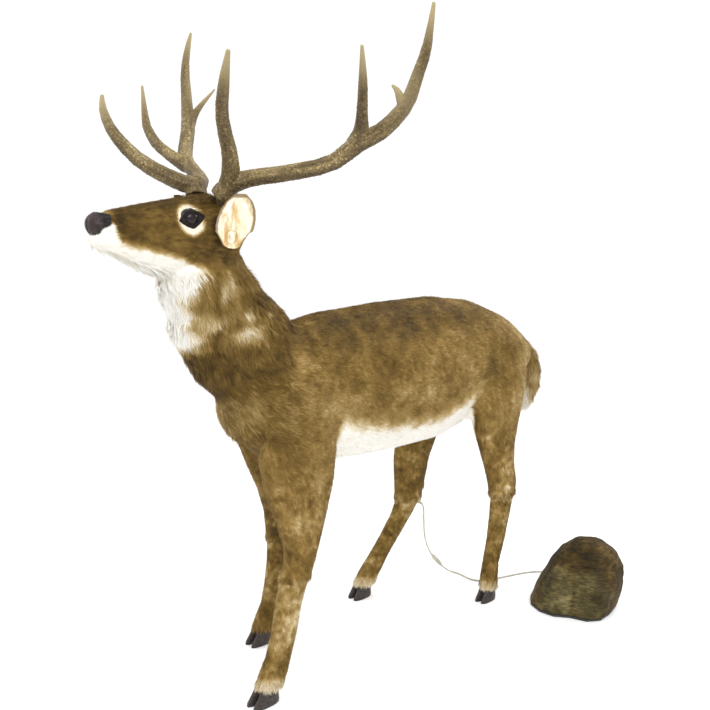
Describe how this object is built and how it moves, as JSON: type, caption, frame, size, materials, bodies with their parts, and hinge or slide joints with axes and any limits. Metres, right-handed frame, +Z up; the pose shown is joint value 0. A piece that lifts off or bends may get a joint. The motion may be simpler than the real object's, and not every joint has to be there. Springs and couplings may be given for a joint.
{
  "type": "light-up yard buck",
  "caption": "Standing buck yard figure in faux fur with branching antlers, a turning neck, lit glass eyes and a faux-rock power box on a lead.",
  "frame": {"origin": "on the ground at the middle of the box around the deer and the rock, cord left out", "axes": "the deer faces -Y, its left side is +X and +Z is up"},
  "size_m": [0.914, 1.6378, 1.6993],
  "materials": {
    "fur": "golden-brown faux fur with white throat and belly",
    "moulded_form": "moulded form, never seen",
    "steel": "plated tube and rod",
    "antler": "moulded antler with pebbled beams and pale tips",
    "hoof": "near-black moulded hoof and nose",
    "eye": "dark polished glass eye",
    "ear_fur": "cream plush with a thin brown rim",
    "brass": "turned gear brass",
    "board": "lamp board",
    "stone_look": "moulded rock, olive and brown",
    "dark_plastic": "dark moulded plastic",
    "rocker_red": "red rocker",
    "cord": "pale grey PVC cord"
  },
  "bodies": {
    "body_and_rock": {"torso_pelt": "fur", "torso_form_left": "moulded_form", "torso_form_right": "moulded_form", "spine_beam": "steel", "shoulder_crossbar": "steel", "hip_crossbar": "steel", "front_left_upper_leg": "fur", "front_left_leg_tube": "steel", "front_left_lower_leg": "fur", "front_left_leg_rod": "steel", "front_left_hoof": "hoof", "front_right_upper_leg": "fur", "front_right_leg_tube": "steel", "front_right_lower_leg": "fur", "front_right_leg_rod": "steel", "front_right_hoof": "hoof", "rear_left_upper_leg": "fur", "rear_left_leg_tube": "steel", "rear_left_lower_leg": "fur", "rear_left_leg_rod": "steel", "rear_left_hoof": "hoof", "rear_right_upper_leg": "fur", "rear_right_leg_tube": "steel", "rear_right_lower_leg": "fur", "rear_right_leg_rod": "steel", "rear_right_hoof": "hoof", "tail": "fur", "neck_bearing": "steel", "neck_gearmotor": "dark_plastic", "rock_shell": "stone_look", "rock_base": "dark_plastic", "rock_screw_1": "steel", "rock_screw_2": "steel", "rock_screw_3": "steel", "power_supply": "dark_plastic", "mains_inlet": "dark_plastic", "switch_housing": "dark_plastic", "lead_upper": "cord", "lead_lower": "cord", "hock_grommet": "cord", "lead_socket": "cord", "lead_plug": "cord", "rock_gland": "cord"},
    "neck_and_head": {"head_pelt": "fur", "neck_form": "moulded_form", "head_form": "moulded_form", "nose": "hoof", "eye_left": "eye", "eye_right": "eye", "eye_lamp_left": "board", "eye_lamp_right": "board", "antler_bracket": "steel", "antler_left": "antler", "antler_right": "antler", "ear_left": "ear_fur", "ear_right": "ear_fur", "neck_post": "steel", "neck_wheel": "brass"},
    "drive_pinion": {"neck_pinion": "brass"},
    "power_switch": {"switch_rocker": "rocker_red"}
  },
  "joints": [
    {"name": "neck_turn", "type": "hinge", "parent": "body_and_rock", "child": "neck_and_head", "pos_m": [0.00143, -0.46486, 0.957], "axis": [0, -0.5299, 0.848], "range_deg": [-20, 20]},
    {"name": "pinion_turn", "type": "hinge", "parent": "body_and_rock", "child": "drive_pinion", "pos_m": [0.00143, -0.51893, 0.90199], "axis": [0, -0.5299, 0.848], "range_deg": [-80, 80]},
    {"name": "switch_rock", "type": "hinge", "parent": "body_and_rock", "child": "power_switch", "pos_m": [0.33143, 0.75314, 0.04], "axis": [1, 0, 0], "range_deg": [-8, 8]}
  ],
  "couplings": [
    {"joint": "pinion_turn", "follows": "neck_turn", "ratio": -4}
  ]
}
